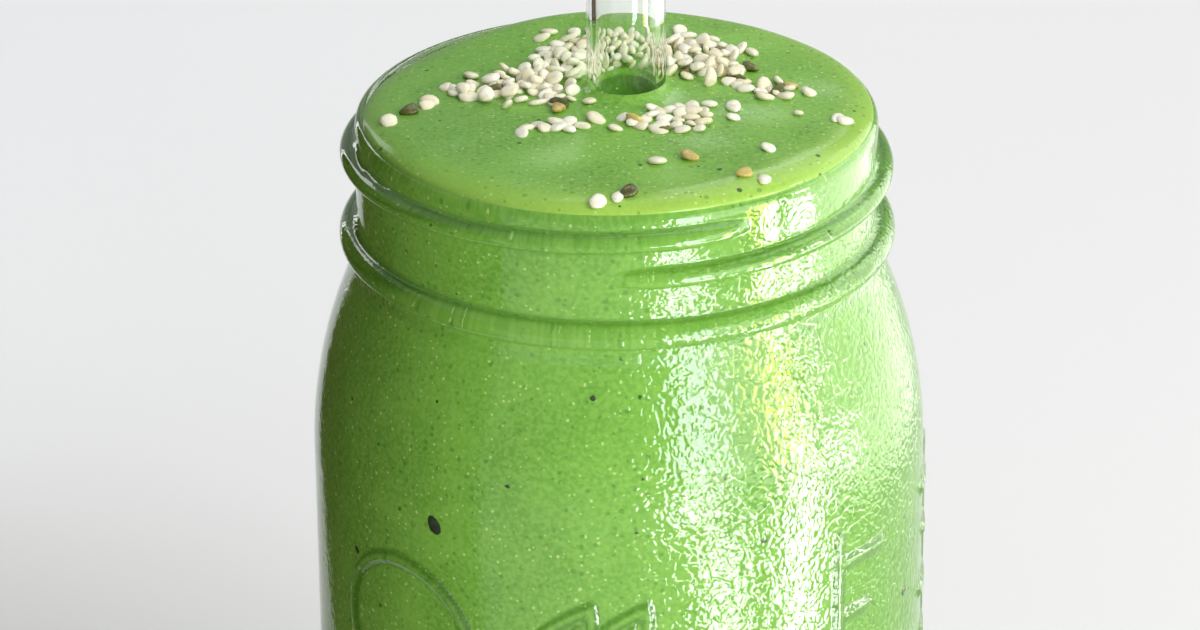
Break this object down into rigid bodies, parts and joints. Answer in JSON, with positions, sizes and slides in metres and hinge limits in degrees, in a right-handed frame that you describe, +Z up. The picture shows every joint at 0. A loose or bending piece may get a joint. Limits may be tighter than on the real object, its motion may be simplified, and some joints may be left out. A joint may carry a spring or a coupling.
{
  "type": "green smoothie in a glass jar with a straw",
  "caption": "Green smoothie filling a wide-mouth screw-neck preserving jar of clear glass, with a clear glass drinking straw standing in it.",
  "frame": {"origin": "on the jar's axis, in the plane that its foot ring stands on", "axes": "+Z up along the jar's axis, -Y towards the front of the jar, +X to the right"},
  "size_m": [0.0975, 0.0975, 0.2371],
  "materials": {
    "jar_glass": "clear pressed glass with a faint orange-peel surface",
    "straw_glass": "clear drawn glass, fire-polished ends",
    "smoothie": "opaque creamy green drink with a wet sheen and fine specks"
  },
  "bodies": {
    "root": {"jar": "jar_glass", "smoothie": "smoothie", "straw": "straw_glass"}
  },
  "joints": []
}
